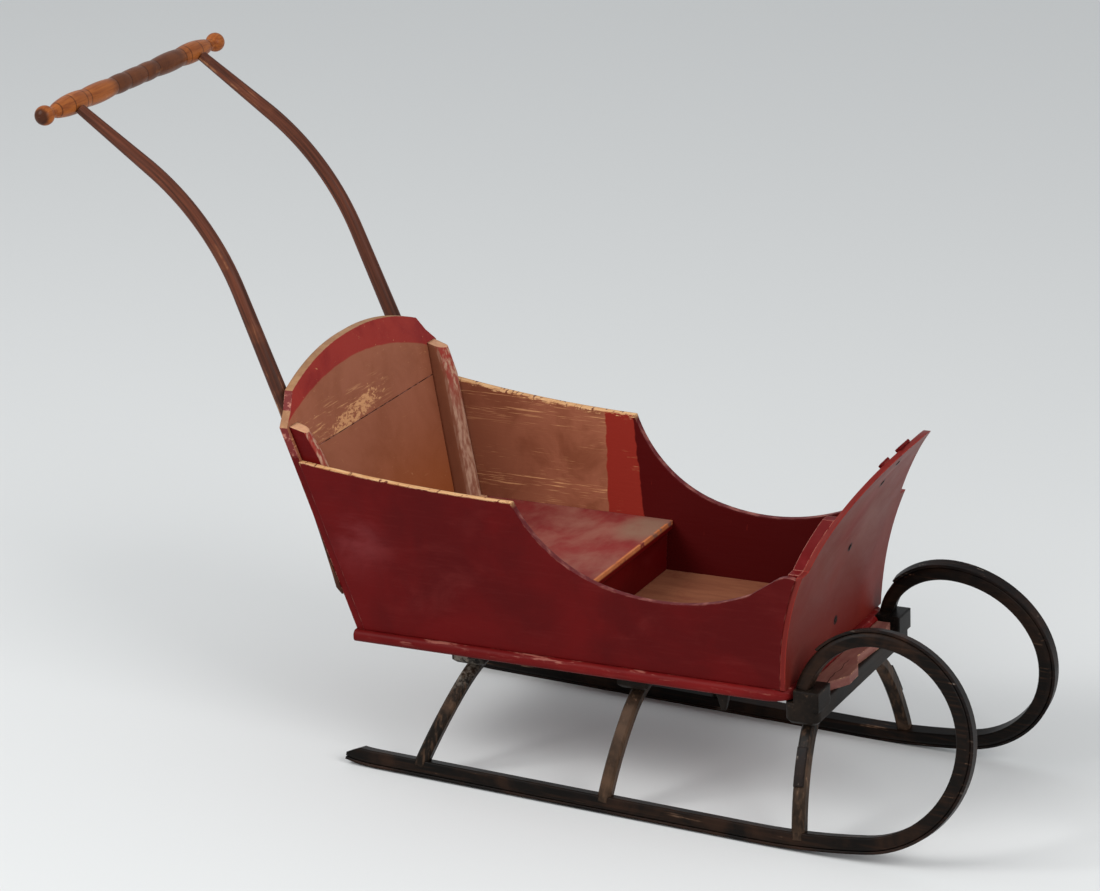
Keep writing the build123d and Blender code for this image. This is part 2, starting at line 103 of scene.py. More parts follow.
class Finish:
    """A material being mixed: each method adds a node or two and returns its output."""

    def __init__(self, name, rough=0.6, spec=0.08):
        self.material = bpy.data.materials.new(name)
        self.material.use_nodes = True
        self.tree = self.material.node_tree
        self.shader = self.tree.nodes["Principled BSDF"]
        self.shader.inputs["Roughness"].default_value = rough
        self.shader.inputs["Specular IOR Level"].default_value = spec
        self.object_place = self.add("ShaderNodeTexCoord").outputs["Object"]

    def add(self, kind, **values):
        node = self.tree.nodes.new(kind)
        for key, value in values.items():
            setattr(node, key, value)
        return node

    def feed(self, socket, value):
        if isinstance(value, bpy.types.NodeSocket):
            self.tree.links.new(value, socket)
        else:
            socket.default_value = value

    def along_body(self):
        """Places measured along the body: the other way round from on_body."""
        node = self.add("ShaderNodeMapping", vector_type="TEXTURE")
        node.inputs["Location"].default_value = BODY_ORIGIN
        node.inputs["Rotation"].default_value = (0, -BODY_PITCH, 0)
        self.feed(node.inputs["Vector"], self.object_place)
        return node.outputs["Vector"]

    def stretch(self, vector, scale):
        node = self.add("ShaderNodeVectorMath", operation="MULTIPLY")
        self.feed(node.inputs[0], vector)
        node.inputs[1].default_value = scale
        return node.outputs["Vector"]

    def split(self, vector):
        node = self.add("ShaderNodeSeparateXYZ")
        self.feed(node.inputs[0], vector)
        return node.outputs

    def noise(self, vector, scale, detail=4.0, rough=0.55, twist=0.0):
        node = self.add("ShaderNodeTexNoise")
        self.feed(node.inputs["Vector"], vector)
        node.inputs["Scale"].default_value = scale
        node.inputs["Detail"].default_value = detail
        node.inputs["Roughness"].default_value = rough
        node.inputs["Distortion"].default_value = twist
        return node.outputs["Fac"]

    def calc(self, operation, a, b=0.0, c=0.0):
        node = self.add("ShaderNodeMath", operation=operation)
        for socket, value in zip(node.inputs, (a, b, c)):
            self.feed(socket, value)
        return node.outputs[0]

    def times(self, *values):
        product = values[0]
        for value in values[1:]:
            product = self.calc("MULTIPLY", product, value)
        return product

    def band(self, value, low, high):
        """0 below low and 1 above high, or turned round when low is the larger."""
        node = self.add("ShaderNodeMapRange", clamp=True, interpolation_type="SMOOTHSTEP")
        self.feed(node.inputs["Value"], value)
        node.inputs["From Min"].default_value = min(low, high)
        node.inputs["From Max"].default_value = max(low, high)
        if low > high:
            node.inputs["To Min"].default_value = 1.0
            node.inputs["To Max"].default_value = 0.0
        return node.outputs["Result"]

    def about(self, value, middle, half, soft):
        """1 within half of middle, fading over soft."""
        away = self.calc("ABSOLUTE", self.calc("SUBTRACT", value, middle))
        return self.band(away, half + soft, half)

    def spot(self, vector, place, radius, soft):
        """1 within radius of a place, fading over soft."""
        node = self.add("ShaderNodeVectorMath", operation="DISTANCE")
        self.feed(node.inputs[0], vector)
        node.inputs[1].default_value = place
        return self.band(node.outputs["Value"], radius + soft, radius)

    def streak(self, vector, scale, low, high):
        """Thin marks: noise drawn out along the axes that have the small scales."""
        return self.band(self.noise(self.stretch(vector, scale), 1.0, 3.0, 0.6), low, high)

    def mix(self, factor, a, b):
        node = self.add("ShaderNodeMix", data_type="RGBA")
        self.feed(node.inputs["Factor"], factor)
        for socket, colour in ((node.inputs[6], a), (node.inputs[7], b)):
            self.feed(socket, (*colour, 1.0) if isinstance(colour, tuple) else colour)
        return node.outputs[2]

    def facing(self):
        """The surface's own direction, split into three."""
        return self.split(self.add("ShaderNodeNewGeometry").outputs["True Normal"])

    def rounded(self, width):
        """The direction of the surface as if its corners were rounded over width metres."""
        bevel = self.add("ShaderNodeBevel", samples=CORNER_SAMPLES)
        bevel.inputs["Radius"].default_value = width
        return bevel.outputs["Normal"]

    def arris(self, rounded):
        """1 along sharp corners, from the rounded direction."""
        dot = self.add("ShaderNodeVectorMath", operation="DOT_PRODUCT")
        self.feed(dot.inputs[0], rounded)
        self.feed(dot.inputs[1], self.add("ShaderNodeNewGeometry").outputs["True Normal"])
        return self.band(dot.outputs["Value"], ARRIS_START, ARRIS_FULL)

    def bump(self, height, depth, strength, under=None):
        node = self.add("ShaderNodeBump")
        node.inputs["Strength"].default_value = strength
        node.inputs["Distance"].default_value = depth
        self.feed(node.inputs["Height"], height)
        if under is not None:
            self.feed(node.inputs["Normal"], under)
        return node.outputs["Normal"]

    def finish(self, colour, rough=None, normal=None):
        base = (*colour, 1.0) if isinstance(colour, tuple) else colour
        self.feed(self.shader.inputs["Base Color"], base)
        if rough is not None:
            self.feed(self.shader.inputs["Roughness"], rough)
        if normal is not None:
            self.feed(self.shader.inputs["Normal"], normal)
        print("finish:", self.material.name)
        return self.material


def dress(names, material):
    """Put one finish on pieces of the frame."""
    for name in names:
        data = nodes[name].data
        data.materials.clear()
        data.materials.append(material)


def srgb(r, g, b):
    """A colour read as 0 to 255, turned into the linear values that shaders use."""
    def one(x):
        x = x / 255.0
        return x / 12.92 if x <= 0.04045 else ((x + 0.055) / 1.055) ** 2.4
    return (one(r), one(g), one(b))


# %% [markdown]
# The colours that several pieces share are named here. Those of one piece stand in its own cell.

# %% Colours
MAROON = srgb(92, 8, 9)
MAROON_DEEP = srgb(77, 6, 7)
MAROON_FADED = srgb(119, 44, 41)
TAN = srgb(152, 92, 68)
TAN_WORN = srgb(214, 158, 110)
BARE_WOOD = srgb(226, 180, 130)
BARE_PINK = srgb(182, 120, 104)

# %% [markdown]
# The outside of the body is dark red oil paint, gone blotchy with handling. It could be one flat
# colour with bump, but real paint shows where hands rubbed it thin and where the edges chipped.
# Every painted board starts from this base: fading from soft noise, brush marks and fine
# scratches from noise stretched along the board, and arrises rounded by a hand plane.

# %% Base of every painted board
CLEAT_RED = srgb(124, 34, 36)
BOARD_CORNER = 0.0022
SKIN_DEEP, WAVE_DEEP = 0.0003, 0.0006
SHINE, SHINE_SPREAD = 0.32, 0.34


def painted(f, body, base, deep, faded, along=(6.0, 60.0, 60.0)):
    """Old paint, blotched and brushed: its colour, and the noise that says where it was rubbed."""
    blotch = f.noise(body, 7.0, 4.0, 0.55, 0.5)
    colour = f.mix(f.band(blotch, 0.35, 0.65), base, deep)
    rub = f.noise(f.stretch(body, (0.7, 1.0, 1.5)), 9.0, 5.0, 0.6, 0.6)
    colour = f.mix(f.times(f.band(rub, 0.55, 0.80), 0.28), colour, faded)
    brush = f.noise(f.stretch(body, along), 4.0, 3.0, 0.6)
    colour = f.mix(f.times(f.band(brush, 0.5, 0.8), 0.10), colour, faded)
    scratch = f.streak(body, (28.0, 900.0, 900.0), 0.70, 0.76)
    return f.mix(f.times(scratch, 0.35), colour, faded), rub


def close(f, body, colour, rub, corner=BOARD_CORNER, shine=SHINE):
    """The last steps of a painted board: its shine, its skin and its soft corners."""
    skin = f.noise(body, 420.0, 3.0, 0.6)
    wave = f.noise(f.stretch(body, (8.0, 30.0, 90.0)), 3.0, 2.0, 0.5)
    under = f.bump(wave, WAVE_DEEP, 0.25, f.rounded(corner))
    rough = f.calc("MULTIPLY_ADD", rub, SHINE_SPREAD, shine)
    return f.finish(colour, rough, f.bump(skin, SKIN_DEEP, 0.3, under))


def chipped(f, body, colour, bare, amount):
    """Bare wood along the corners, broken up so that it never runs as an even line."""
    gap = f.noise(body, 120.0, 4.0, 0.65)
    chips = f.band(gap, 0.62 - 0.3 * amount, 0.72 - 0.3 * amount)
    return f.mix(f.times(f.arris(f.rounded(BOARD_CORNER)), chips), colour, bare)


def plain_board(name, base, deep, faded, bare, wear):
    f = Finish(name)
    body = f.along_body()
    colour, rub = painted(f, body, base, deep, faded)
    return close(f, body, chipped(f, body, colour, bare, wear), rub)


riser_paint = plain_board("riser_paint", MAROON, MAROON_DEEP, MAROON_FADED, BARE_PINK, 0.4)
dress(["seat_riser"], riser_paint)
cleat_paint = plain_board("dash_cleat_paint", CLEAT_RED, MAROON, MAROON_FADED, BARE_PINK, 0.8)
dress(["dash_cleat_right", "dash_cleat_left"], cleat_paint)

# %% [markdown]
# The sides carry most of the story. Outside they are maroon. Inside, behind the seat's front,
# they are tan, then a bright red stripe, then maroon again, with stripe edges that lean. The tan
# was scraped along the grain, and the top edge is worn to bare wood as far as the armrest goes.

# %% Sides
HAZE = srgb(140, 66, 68)
BRIGHT_RED = srgb(138, 41, 31)
FORE_RED = srgb(74, 8, 8)
ARM_RED = srgb(96, 34, 36)
ARM_RUBBED_AND_LIT = srgb(152, 92, 82)
TAN_SHADE = srgb(128, 72, 50)
TAN_DARK = srgb(120, 68, 48)
BARE_GRAIN = srgb(196, 138, 88)
BARE_TICK = srgb(104, 54, 38)
TAN_EDGE_LEAN, TAN_EDGE = 0.0734, -0.1488
RED_EDGE_LEAN, RED_EDGE = 0.16, -0.0899
STRIPE_SOFT = 0.002
ARM_FRONT_U = -0.121
ARM_TOP_V, ARM_TOP_BEND = 0.211, 0.28
HAZE_PLACE = (-0.36, -0.19, 0.13)
LOW_SCRAPE_V, TOP_SCRAPE_V = 0.104, (0.165, 0.205)
SIDE_CORNER = 0.003


def side_inside(f, body):
    """Tan, a bright red stripe and dark red, with the tan scraped along the grain."""
    u, _, v = f.split(body)
    wobble = f.calc("MULTIPLY", f.noise(body, 60.0, 2.0), 0.006)
    tan_edge = f.calc("ADD", f.calc("MULTIPLY_ADD", v, TAN_EDGE_LEAN, u), wobble)
    red_edge = f.calc("ADD", f.calc("MULTIPLY_ADD", v, RED_EDGE_LEAN, u), wobble)
    cloud = f.noise(body, 16.0, 4.0, 0.6, 0.5)
    tan = f.mix(f.band(cloud, 0.38, 0.66), TAN, TAN_SHADE)
    tan = f.mix(f.times(f.band(u, -0.18, -0.36), 0.6), tan, TAN_DARK)
    scrape = f.streak(body, (20.0, 40.0, 760.0), 0.56, 0.66)
    where = f.band(f.noise(f.stretch(body, (0.5, 1.0, 1.6)), 24.0, 4.0, 0.65), 0.48, 0.66)
    top_line = f.band(v, *TOP_SCRAPE_V)
    lines = f.calc("MAXIMUM", f.about(v, LOW_SCRAPE_V, 0.004, 0.012), f.times(top_line, 0.8))
    tan = f.mix(f.times(scrape, f.calc("MAXIMUM", where, lines), 0.85), tan, TAN_WORN)
    red = f.mix(f.times(scrape, f.band(cloud, 0.55, 0.7), 0.7), BRIGHT_RED, TAN_WORN)
    inside = f.mix(f.band(tan_edge, TAN_EDGE, TAN_EDGE + STRIPE_SOFT), tan, red)
    fore = f.mix(f.times(f.streak(body, (300.0, 60.0, 30.0), 0.70, 0.76), 0.5), FORE_RED, BRIGHT_RED)
    return f.mix(f.band(red_edge, RED_EDGE, RED_EDGE + STRIPE_SOFT), inside, fore)


def armrest_wear(f, body, colour, inward, facing):
    """Bare wood on the armrest's top edge, running ragged down the board inside."""
    u, _, v = f.split(body)
    from_front = f.calc("SUBTRACT", u, ARM_FRONT_U)
    arm_top = f.calc("MULTIPLY_ADD", f.times(from_front, from_front), ARM_TOP_BEND, ARM_TOP_V)
    below = f.calc("SUBTRACT", arm_top, v)
    ragged = f.noise(f.stretch(body, (1.0, 1.0, 6.0)), 70.0, 4.0, 0.7)
    reach = f.calc("MULTIPLY_ADD", ragged, 0.030, -0.0145)
    behind = f.band(u, ARM_FRONT_U + STRIPE_SOFT, ARM_FRONT_U - STRIPE_SOFT)
    spill = f.times(behind, inward, f.band(f.calc("SUBTRACT", below, reach), 0.0015, 0.0))
    grain = f.streak(body, (18.0, 700.0, 300.0), 0.40, 0.62)
    bare = f.mix(grain, BARE_WOOD, BARE_GRAIN)
    bare = f.mix(f.streak(body, (240.0, 60.0, 60.0), 0.58, 0.64), bare, BARE_TICK)
    colour = f.mix(spill, colour, bare)
    top_face = f.band(facing[2], 0.35, 0.6)
    # Ahead of the armrest the top edges are maroon with pinkish patches: partly rubbed paint, partly a
    # painted highlight.
    worn_and_lit = f.mix(f.band(f.noise(body, 50.0, 3.0), 0.45, 0.75), ARM_RED, ARM_RUBBED_AND_LIT)
    corner = f.arris(f.rounded(SIDE_CORNER))
    outer_lip = f.times(corner, behind, f.band(below, 0.010, 0.0), f.band(f.noise(body, 90.0), 0.38, 0.50))
    colour = f.mix(f.calc("MAXIMUM", top_face, outer_lip), colour, f.mix(behind, worn_and_lit, bare))
    return f.mix(f.times(corner, f.band(f.noise(body, 70.0), 0.50, 0.64), 0.28), colour, BARE_PINK)


def side_finish():
    f = Finish("side_paint")
    body = f.along_body()
    facing = f.facing()
    outside, rub = painted(f, body, MAROON, MAROON_DEEP, MAROON_FADED)
    haze = f.times(f.spot(body, HAZE_PLACE, 0.01, 0.07), f.band(rub, 0.35, 0.7), 0.35)
    outside = f.mix(haze, outside, HAZE)
    inward = f.band(f.times(facing[1], f.split(body)[1]), 0.01, -0.01)
    colour = f.mix(inward, outside, side_inside(f, body))
    return close(f, body, armrest_wear(f, body, colour, inward, facing), rub, SIDE_CORNER)


dress(["side_right", "side_left"], side_finish())

# %% [markdown]
# The back is two boards. Its face is tan with a red border under the arch. The seam between the
# boards has opened to a dark line, and the paint has flaked to pale wood just above it.

# %% Back panel
BAND_RED = srgb(150, 48, 40)
BAND_DEEP = srgb(130, 34, 32)
END_RED = srgb(112, 44, 42)
SEAM_DARK = srgb(52, 26, 20)
BACK_SHADE = srgb(140, 82, 58)
TAN_ORANGE = srgb(150, 80, 40)
EDGE_DARK = srgb(128, 84, 62)
EDGE_PALE = srgb(190, 148, 106)
SEAM_V = 0.239
ABOVE_SEAM = (SEAM_V - 0.001, SEAM_V)
BORDER_TOP_V, BORDER_OFF_Y = 0.3165, 0.02
FLAKE_V, FLAKE_SLOPE, FLAKE_Y = 0.256, 0.14, -0.045
RUBBED_V = 0.262


def back_finish():
    f = Finish("back_paint")
    body = f.along_body()
    _, y, v = f.split(body)
    facing = f.facing()
    behind, rub = painted(f, body, MAROON, MAROON_DEEP, MAROON_FADED)
    cloud = f.noise(body, 13.0, 4.0, 0.6, 0.4)
    tan = f.mix(f.band(cloud, 0.36, 0.68), TAN, BACK_SHADE)
    tan = f.mix(f.times(f.band(v, 0.22, 0.08), f.band(y, -0.16, 0.02), 0.8), tan, TAN_ORANGE)
    tan = f.mix(f.times(f.streak(body, (60.0, 30.0, 800.0), 0.66, 0.74), 0.25), tan, TAN_WORN)
    across = f.calc("ADD", y, BORDER_OFF_Y)
    arch = f.calc("MULTIPLY_ADD", f.times(across, across), -1.0, BORDER_TOP_V)
    border = f.calc("SUBTRACT", v, arch)
    border = f.calc("MULTIPLY_ADD", f.noise(body, 40.0, 2.0), 0.003, border)
    red = f.mix(f.band(cloud, 0.4, 0.7), BAND_RED, BAND_DEEP)
    front = f.mix(f.band(border, 0.001, 0.003), tan, red)
    flake = f.noise(f.stretch(body, (1.0, 0.8, 1.5)), 105.0, 6.0, 0.75, 0.3)
    slanted = f.calc("MULTIPLY_ADD", y, -FLAKE_SLOPE, v)
    patch = f.times(f.about(slanted, FLAKE_V, 0.004, 0.016), f.about(y, FLAKE_Y, 0.03, 0.09))
    loose = f.calc("MULTIPLY_ADD", patch, 0.20, flake)
    front = f.mix(f.times(f.band(loose, 0.64, 0.70), f.band(v, *ABOVE_SEAM), 0.8), front, TAN_WORN)
    rubbed = f.times(f.about(v, RUBBED_V, 0.006, 0.022), f.band(y, 0.07, 0.02), f.band(v, *ABOVE_SEAM))
    rubbed = f.times(f.streak(body, (60.0, 26.0, 420.0), 0.56, 0.66), rubbed, 0.7)
    front = f.mix(rubbed, front, TAN_WORN)
    nick = f.noise(body, 190.0, 3.0, 0.6)
    front = f.mix(f.times(f.band(nick, 0.72, 0.75), 0.8), front, TAN_WORN)
    colour = f.mix(f.band(facing[0], 0.6, 0.8), behind, front)
    edge = f.mix(f.noise(body, 60.0, 4.0, 0.7), EDGE_DARK, EDGE_PALE)
    ends = f.mix(f.band(f.noise(body, 90.0, 4.0, 0.7), 0.52, 0.66), END_RED, BARE_PINK)
    colour = f.mix(f.band(facing[2], 0.5, 0.7), colour, edge)
    sideways = f.band(f.calc("ABSOLUTE", facing[1]), 0.62, 0.80)
    colour = f.mix(f.times(sideways, f.band(v, SEAM_V, SEAM_V + 0.004)), colour, ends)
    seam = f.times(f.about(v, SEAM_V, 0.0003, 0.0006), f.band(y, -0.15, -0.12))
    colour = f.mix(seam, colour, SEAM_DARK)
    return close(f, body, chipped(f, body, colour, BARE_PINK, 0.5), rub)


dress(["back_board_lower", "back_board_upper"], back_finish())

# %% [markdown]
# The seat is red gone dull and dusty, with an olive patch near its left front corner, and its front
# edge carries an orange line that is partly a painted highlight and partly wear to bright wood. The
# floor is bare tan inside, with a red nosing all round, darker behind; pale streaks on top of the
# nosing are partly a painted highlight and partly scuffed paint. The toe board is faded to a dull
# pink, and cracked on the right.

# %% Seat and floor
SEAT_RED = srgb(134, 50, 48)
SEAT_DEEP = srgb(118, 40, 40)
SEAT_DUST = srgb(150, 98, 84)
OLIVE_DUST = srgb(140, 112, 92)
LIP_ORANGE = srgb(176, 84, 44)
LIP_PALE = srgb(214, 142, 92)
NOSING_RED = srgb(112, 21, 20)
NOSING_DEEP = srgb(94, 14, 15)
NOSING_RUBBED = srgb(150, 78, 68)
FLOOR_TAN = srgb(148, 92, 66)
FLOOR_SHADE = srgb(118, 66, 48)
FLOOR_STAIN = srgb(116, 50, 40)
TOE_PINK = srgb(136, 92, 80)
TOE_SHADE = srgb(118, 72, 66)
TOE_RED = srgb(112, 58, 56)
CRACK_DARK = srgb(46, 24, 22)
OLIVE_PLACE = (-0.085, 0.085, 0.078)
LIP_U, LIP_V = (-0.0675, -0.0645), (0.068, 0.074)
SEAT_CORNER, FLOOR_CORNER = 0.0025, 0.002
CRACK_U = 0.2655


def seat_finish():
    f = Finish("seat_paint")
    body = f.along_body()
    u, _, v = f.split(body)
    facing = f.facing()
    colour, rub = painted(f, body, SEAT_RED, SEAT_DEEP, SEAT_DUST, (60.0, 6.0, 60.0))
    smear = f.noise(f.stretch(body, (1.0, 0.6, 1.0)), 15.0, 6.0, 0.6, 0.3)
    colour = f.mix(f.times(f.band(smear, 0.36, 0.68), 0.8), colour, SEAT_DUST)
    olive = f.spot(f.stretch(body, (1.0, 0.7, 1.0)), OLIVE_PLACE, 0.016, 0.03)
    colour = f.mix(f.times(olive, f.band(smear, 0.30, 0.55), 0.7), colour, OLIVE_DUST)
    # The orange line along the seat's top front edge is partly a painted highlight, partly wear to bright
    # wood.
    lip = f.times(f.band(u, *LIP_U), f.band(v, *LIP_V))
    worn_and_lit = f.mix(f.noise(body, 70.0, 4.0, 0.6), LIP_ORANGE, LIP_PALE)
    colour = f.mix(f.times(lip, f.band(f.noise(body, 45.0, 3.0), 0.36, 0.46)), colour, worn_and_lit)
    front = f.times(f.band(facing[0], 0.6, 0.8), f.band(v, 0.074, 0.071))
    return close(f, body, f.mix(front, colour, MAROON), rub, SEAT_CORNER)


def floor_finish():
    f = Finish("floor_paint")
    body = f.along_body()
    u, _, v = f.split(body)
    nosing, rub = painted(f, body, NOSING_RED, NOSING_DEEP, NOSING_RUBBED)
    nosing = f.mix(f.times(f.band(u, 0.10, -0.25), 0.6), nosing, MAROON_DEEP)
    # Pale streaks along the top of the nosing: partly a painted highlight, partly scuffed paint.
    scuff = f.noise(f.stretch(body, (0.25, 1.0, 2.0)), 90.0, 4.0, 0.65)
    nosing = f.mix(f.times(f.band(scuff, 0.56, 0.66), f.band(v, -0.012, -0.002), 0.42), nosing, BARE_PINK)
    boards = f.noise(f.stretch(body, (9.0, 60.0, 30.0)), 1.6, 5.0, 0.65)
    bare = f.mix(f.times(f.band(boards, 0.30, 0.70), 0.6), FLOOR_TAN, FLOOR_SHADE)
    stain = f.noise(body, 18.0, 5.0, 0.65, 0.6)
    bare = f.mix(f.times(f.band(stain, 0.52, 0.68), 0.5), bare, FLOOR_STAIN)
    colour = f.mix(f.band(v, 0.001, 0.003), nosing, bare)
    return close(f, body, colour, rub, FLOOR_CORNER)


def toe_finish():
    f = Finish("toe_board_wood")
    body = f.along_body()
    u, y, _ = f.split(body)
    grain = f.noise(f.stretch(body, (70.0, 4.0, 70.0)), 1.5, 5.0, 0.6)
    colour = f.mix(f.band(grain, 0.35, 0.65), TOE_PINK, TOE_SHADE)
    rub = f.noise(body, 24.0, 5.0, 0.65, 0.6)
    colour = f.mix(f.times(f.band(rub, 0.55, 0.75), 0.5), colour, TOE_RED)
    crack = f.calc("MULTIPLY_ADD", f.noise(body, 30.0, 3.0), 0.012, f.calc("MULTIPLY_ADD", y, 0.03, u))
    opened = f.times(f.about(crack, CRACK_U, 0.0003, 0.0006), f.band(y, -0.02, -0.035))
    colour = f.mix(opened, colour, CRACK_DARK)
    return close(f, body, chipped(f, body, colour, BARE_WOOD, 0.4), rub)


dress(["seat_board"], seat_finish())
dress(["floor_board"], floor_finish())
dress(["toe_board"], toe_finish())

# %% [markdown]
# The dash is a thin bent board. Its face is browner towards the top, and iron nails down its
# middle have stained the paint round them, right through to the inside. Its edges keep a bright
# red arris.

# %% Dash
DASH_RED = srgb(110, 35, 28)
DASH_DEEP = srgb(96, 28, 22)
DASH_FADED = srgb(118, 68, 56)
DASH_BROWN = srgb(110, 64, 54)
DASH_INSIDE = srgb(130, 40, 38)
DASH_ARRIS = srgb(156, 54, 44)
NAIL_STAIN = srgb(40, 17, 15)
NAIL_HEIGHTS = (0.036, 0.136, 0.226, 0.2545)
DASH_FOOT_U, DASH_LOW_R, DASH_HIGH_R = 0.2305, 0.5, 0.4
DASH_HEADINGS = (89.0, 81.0)
DASH_CORNER, DASH_SHINE = 0.003, 0.30
STAIN_RADIUS, STAIN_SOFT = 0.004, 0.004


def dash_place(v):
    """The dash's front face on its middle line: U, and how steeply it stands there."""
    start, bend = (math.radians(a) for a in DASH_HEADINGS)
    bend_v = DASH_LOW_R * (math.cos(bend) - math.cos(start))
    if v <= bend_v:
        heading = math.acos(math.cos(start) + v / DASH_LOW_R)
        return DASH_FOOT_U + DASH_LOW_R * (math.sin(start) - math.sin(heading)), heading
    bend_u = DASH_FOOT_U + DASH_LOW_R * (math.sin(start) - math.sin(bend))
    heading = math.acos(math.cos(bend) + (v - bend_v) / DASH_HIGH_R)
    return bend_u + DASH_HIGH_R * (math.sin(bend) - math.sin(heading)), heading


def dash_axes(v):
    """Two directions at that height of the dash: out of its front face, and up along it."""
    heading = dash_place(v)[1]
    foot = on_body(0, 0, 0)
    outward = on_body(math.sin(heading), 0.0, -math.cos(heading)) - foot
    upward = on_body(math.cos(heading), 0.0, math.sin(heading)) - foot
    return outward.normalized(), upward.normalized()


def dash_finish():
    f = Finish("dash_paint")
    body = f.along_body()
    v = f.split(body)[2]
    facing = f.facing()
    colour, rub = painted(f, body, DASH_RED, DASH_DEEP, DASH_FADED, (60.0, 60.0, 6.0))
    brown = f.times(f.band(v, 0.02, 0.20), f.band(f.noise(body, 8.0, 4.0, 0.6, 0.4), 0.30, 0.60))
    colour = f.mix(f.times(brown, 0.75), colour, DASH_BROWN)
    inside = f.mix(f.noise(body, 14.0, 4.0), MAROON, DASH_INSIDE)
    colour = f.mix(f.band(facing[0], 0.2, -0.2), colour, inside)
    through, ragged = f.stretch(body, (0.0, 1.0, 1.0)), f.noise(body, 260.0, 2.0)
    for height in NAIL_HEIGHTS:
        stained = f.spot(through, (0.0, 0.0, height), STAIN_RADIUS, STAIN_SOFT)
        colour = f.mix(f.band(f.times(stained, ragged), 0.14, 0.30), colour, NAIL_STAIN)
    bright = f.times(f.arris(f.rounded(DASH_CORNER)), f.band(f.noise(body, 60.0), 0.34, 0.44))
    return close(f, body, f.mix(bright, colour, DASH_ARRIS), rub, DASH_CORNER, DASH_SHINE)


dress(["dash_panel"], dash_finish())

# %% [markdown]
# Runners, bows and bolsters are hardwood, stained black and rubbed back to brown where snow,
# boots and rope touched them. Grain runs along each piece, so it is drawn out along X for the
# runners, up for the bows and across for the bolsters. The iron straps and stays take the same
# recipe in iron's colours. Under the rear of the body there is dust in an old web.

# %% Runner wood
RUNNER_BLACK = srgb(15, 12, 10)
RUNNER_BROWN = srgb(54, 35, 24)
RUNNER_PALE = srgb(128, 100, 80)
BOW_BLACK = srgb(24, 19, 15)
BOW_BROWN = srgb(84, 63, 48)
BOLSTER_BROWN = srgb(44, 34, 27)
IRON = srgb(19, 16, 15)
RUST = srgb(56, 36, 26)
DUST = srgb(150, 140, 128)
ALONG, UPWARD, ACROSS = (10.0, 260.0, 260.0), (200.0, 200.0, 16.0), (220.0, 14.0, 220.0)
GRAIN_DEEP = 0.0006
WOOD_CORNER, BOLSTER_CORNER = 0.002, 0.005
WEB_PLACE = (-0.085, -0.135, 0.150)


def stained_wood(name, dark, light, pale, wear, scale, dusty=False, corner=WOOD_CORNER):
    f = Finish(name)
    place = f.object_place
    grain = f.noise(f.stretch(place, scale), 1.0, 4.0, 0.6)
    patch = f.noise(place, 9.0, 5.0, 0.65, 0.6)
    colour = f.mix(f.times(f.band(patch, 0.42, 0.66), wear), dark, light)
    colour = f.mix(f.times(f.band(grain, 0.48, 0.70), 0.7 * wear), colour, light)
    scuff = f.times(f.band(grain, 0.60, 0.70), f.band(f.noise(place, 22.0, 4.0, 0.6), 0.54, 0.66))
    colour = f.mix(f.times(scuff, 0.8), colour, pale)
    if dusty:
        strands = f.band(f.noise(place, 120.0, 5.0, 0.7), 0.42, 0.62)
        colour = f.mix(f.times(f.spot(place, WEB_PLACE, 0.012, 0.035), strands, 0.8), colour, DUST)
    normal = f.bump(grain, GRAIN_DEEP, 0.35, f.rounded(corner))
    return f.finish(colour, f.calc("MULTIPLY_ADD", patch, 0.35, 0.24), normal)


runner_wood = stained_wood("runner_wood", RUNNER_BLACK, RUNNER_BROWN, RUNNER_PALE, 0.55, ALONG)
bow_wood = stained_wood("bow_wood", BOW_BLACK, BOW_BROWN, RUNNER_PALE, 0.9, UPWARD, True)
bolster_wood = stained_wood("bolster_wood", RUNNER_BLACK, BOLSTER_BROWN, RUNNER_PALE, 0.5, ACROSS, True,
                            BOLSTER_CORNER)
sole_iron = stained_wood("sole_iron", IRON, RUST, DUST, 0.6, ALONG)
dress(["runner_right", "runner_left"], runner_wood)
dress(["bow_rear", "bow_mid", "bow_front"], bow_wood)
dress(["bolster_rear", "bolster_mid", "bolster_front"], bolster_wood)
dress(["sole_strap_right", "sole_strap_left"], sole_iron)
stay_iron = stained_wood("stay_iron", IRON, RUST, DUST, 0.3, UPWARD)
dress(["stay_right", "stay_left"], stay_iron)

# %% [markdown]
# The wood of the shafts is bent, so its grain must follow them. It is drawn from what each point
# of a shaft keeps: its place round the rod and its distance along. The bar is orange-brown,
# handled dark in the middle, with a dark line in each turned groove.

# %% Shaft and bar wood
SHAFT_RED = srgb(104, 58, 42)
SHAFT_DARK = srgb(62, 37, 29)
SHAFT_LOW = srgb(56, 36, 30)
SHAFT_TAN = srgb(136, 80, 52)
SHAFT_SCUFF = srgb(178, 130, 92)
BAR_ORANGE = srgb(160, 92, 46)
BAR_DARK = srgb(92, 54, 36)
BAR_SHADE = srgb(128, 68, 36)
BAR_PALE = srgb(196, 128, 76)
BAR_HANDLED = srgb(70, 42, 32)
BAR_END = srgb(52, 30, 24)
RING_DARK = srgb(50, 28, 20)
SHAFT_GRAIN = "grain_place"
BAR_RINGS = (0.020, 0.052, 0.119, 0.131, 0.160, 0.187)
RING_HALF, RING_SOFT = 0.0004, 0.0012
HANDLED_RIGHT, HANDLED_LEFT = (-0.075, -0.045), (0.135, 0.105)
BAR_END_Y = (0.219, 0.224)
BAR_GRAIN_DEEP = 0.0003


